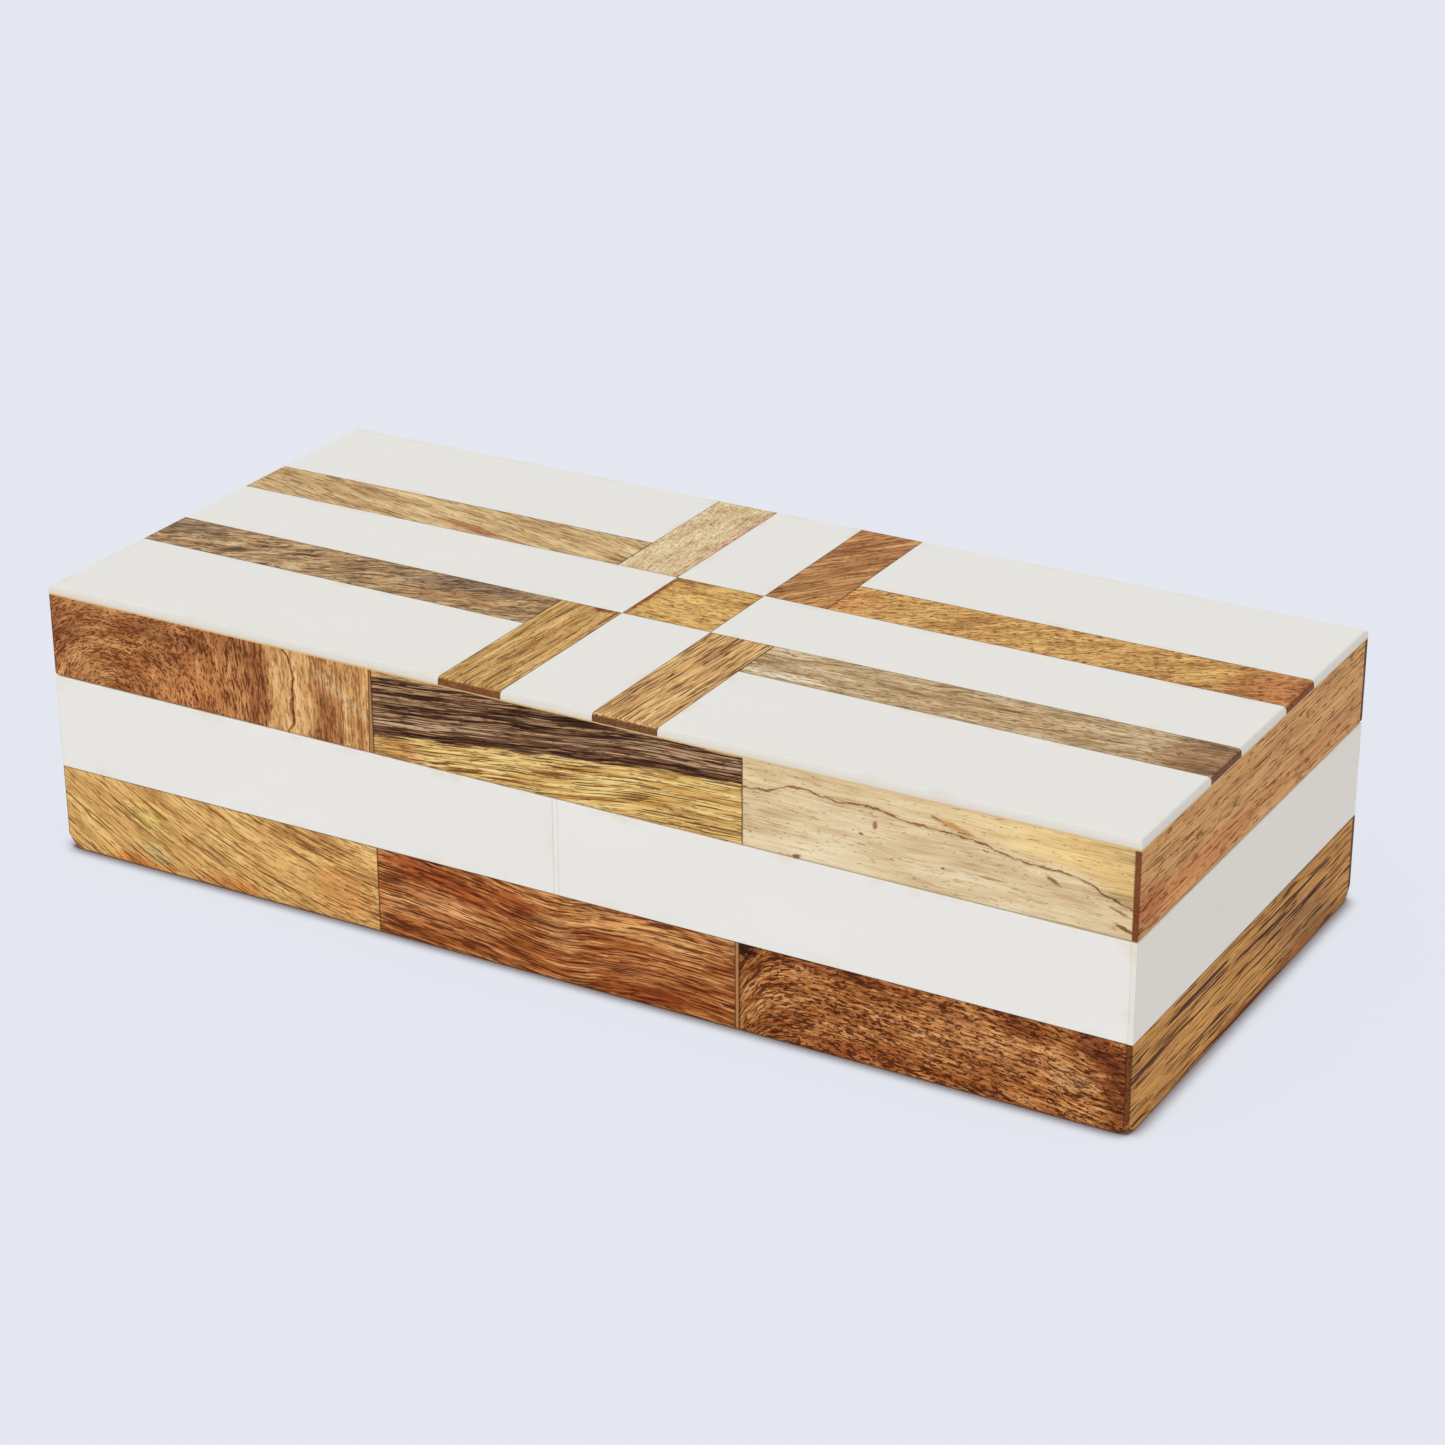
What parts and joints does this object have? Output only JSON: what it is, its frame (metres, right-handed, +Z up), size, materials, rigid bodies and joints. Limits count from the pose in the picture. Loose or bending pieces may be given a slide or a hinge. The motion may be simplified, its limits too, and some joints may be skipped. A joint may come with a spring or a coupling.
{
  "type": "hinged inlaid wooden box",
  "caption": "Small rectangular keepsake box with a hinged lid, faced with white and mixed-wood inlay pieces over a wooden core.",
  "frame": {"origin": "centre of the underside, where the box rests", "axes": "+X along the length to the right of the front, +Y to the hinged back, +Z up"},
  "size_m": [0.254, 0.1211, 0.062],
  "materials": {
    "core_wood": "satin",
    "red_wood": "satin",
    "golden_wood": "satin",
    "pale_wood": "satin",
    "dark_wood": "satin",
    "white_inlay": "satin",
    "brass": "satin",
    "velvet": "matte",
    "felt": "matte"
  },
  "bodies": {
    "base": {"base_band_back_left": "red_wood", "base_band_back_middle": "red_wood", "base_band_back_right": "golden_wood", "base_band_front_left": "golden_wood", "base_band_front_middle": "red_wood", "base_band_front_right": "red_wood", "base_band_left": "red_wood", "base_band_right": "red_wood", "base_felt": "felt", "base_floor": "core_wood", "base_hinge_screws": "brass", "base_lining": "velvet", "base_wall_back": "core_wood", "base_wall_front": "core_wood", "base_wall_left": "core_wood", "base_wall_right": "core_wood", "hinge_left_base_leaf": "brass", "hinge_left_pin": "brass", "hinge_right_base_leaf": "brass", "hinge_right_pin": "brass", "white_band_back_left": "white_inlay", "white_band_back_right": "white_inlay", "white_band_front_left": "white_inlay", "white_band_front_right": "white_inlay", "white_band_left": "white_inlay", "white_band_right": "white_inlay"},
    "lid": {"hinge_left_lid_leaf": "brass", "hinge_right_lid_leaf": "brass", "lid_band_back_left": "pale_wood", "lid_band_back_middle": "dark_wood", "lid_band_back_right": "red_wood", "lid_band_front_left": "red_wood", "lid_band_front_middle": "dark_wood", "lid_band_front_right": "pale_wood", "lid_band_left": "red_wood", "lid_band_right": "red_wood", "lid_board": "core_wood", "lid_hinge_screws": "brass", "lid_lining": "velvet", "lid_rail_back": "core_wood", "lid_rail_front": "core_wood", "lid_rail_left": "core_wood", "lid_rail_right": "core_wood", "top_white_arm_back": "white_inlay", "top_white_arm_front": "white_inlay", "top_white_arm_left": "white_inlay", "top_white_arm_right": "white_inlay", "top_white_back_left": "white_inlay", "top_white_back_right": "white_inlay", "top_white_front_left": "white_inlay", "top_white_front_right": "white_inlay", "top_wood_back_left": "pale_wood", "top_wood_back_right": "red_wood", "top_wood_front_left": "golden_wood", "top_wood_front_right": "golden_wood", "top_wood_left_back": "golden_wood", "top_wood_left_front": "dark_wood", "top_wood_middle": "golden_wood", "top_wood_right_back": "golden_wood", "top_wood_right_front": "dark_wood"}
  },
  "joints": [
    {"name": "lid_hinge", "type": "hinge", "parent": "base", "child": "lid", "pos_m": [0, 0.05945, 0.0411], "axis": [-1, 0, 0], "range_deg": [0, 100]}
  ]
}
